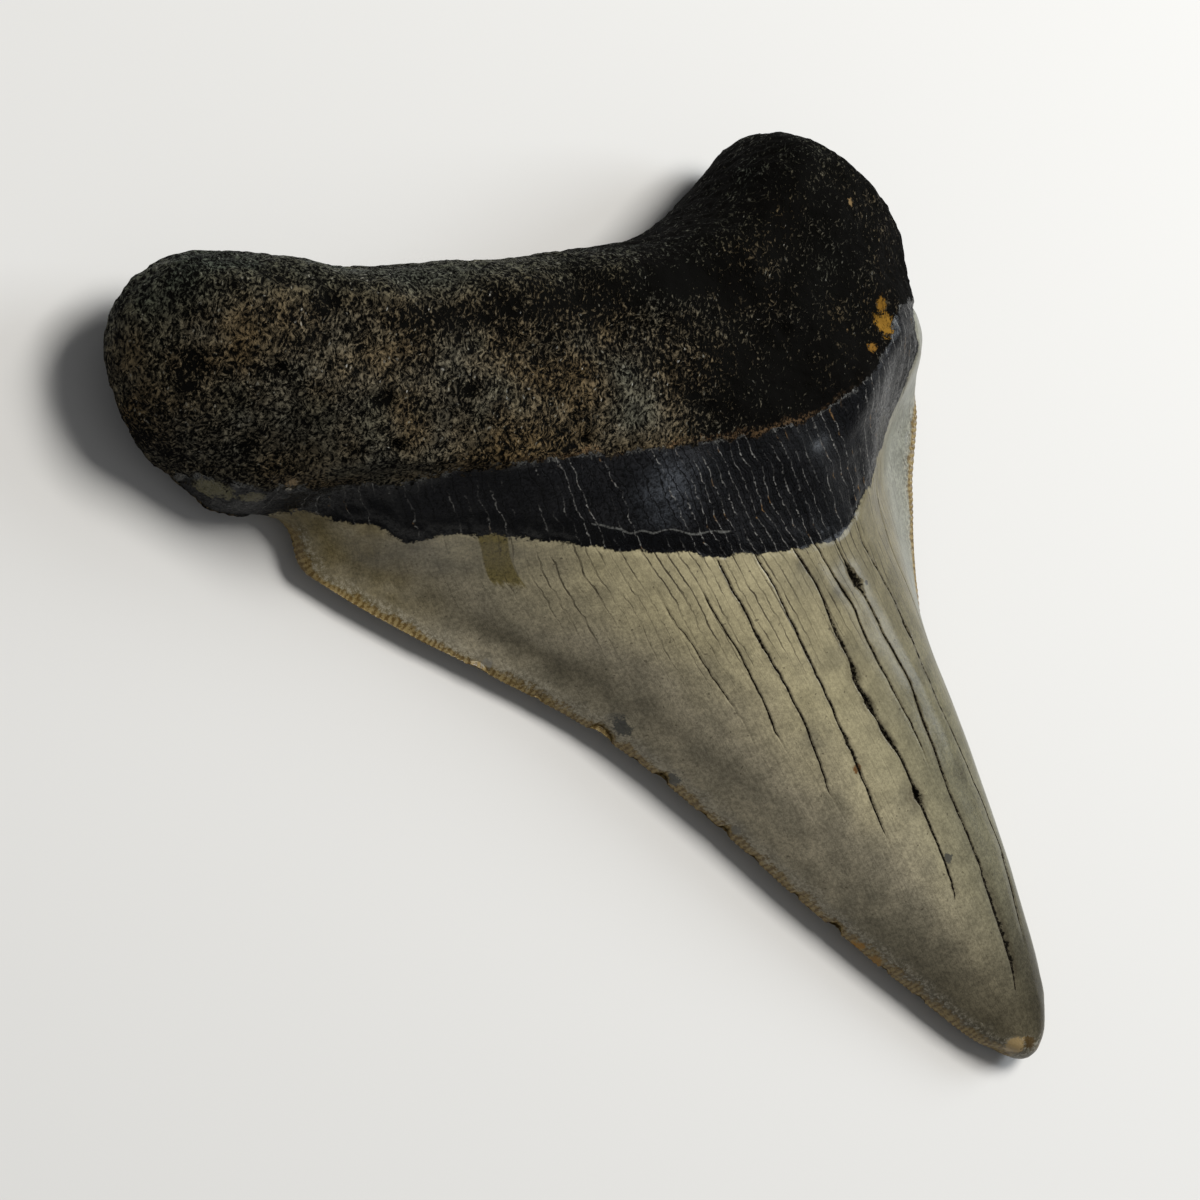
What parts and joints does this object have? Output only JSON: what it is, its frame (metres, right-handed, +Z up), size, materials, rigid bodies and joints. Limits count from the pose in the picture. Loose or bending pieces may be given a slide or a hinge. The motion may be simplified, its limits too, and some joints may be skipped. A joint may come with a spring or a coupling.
{
  "type": "fossil megalodon tooth",
  "caption": "Fossil shark tooth with a dark lobed root, a black striated band and a cracked cream crown with serrated edges, lying on its flat outer face for display.",
  "frame": {"origin": "on the table under the middle of the box around the tooth", "axes": "+Y towards the lobes of the root, -Y towards the tip of the crown, +X towards the side that the crown leans to, +Z up out of the rounded inner face"},
  "size_m": [0.0962, 0.1015, 0.023],
  "materials": {
    "fossil_tooth": "satin cream enamel crown, glossy blue-black band, dull brown-black pebbled root"
  },
  "bodies": {
    "root": {"tooth": "fossil_tooth"}
  },
  "joints": []
}
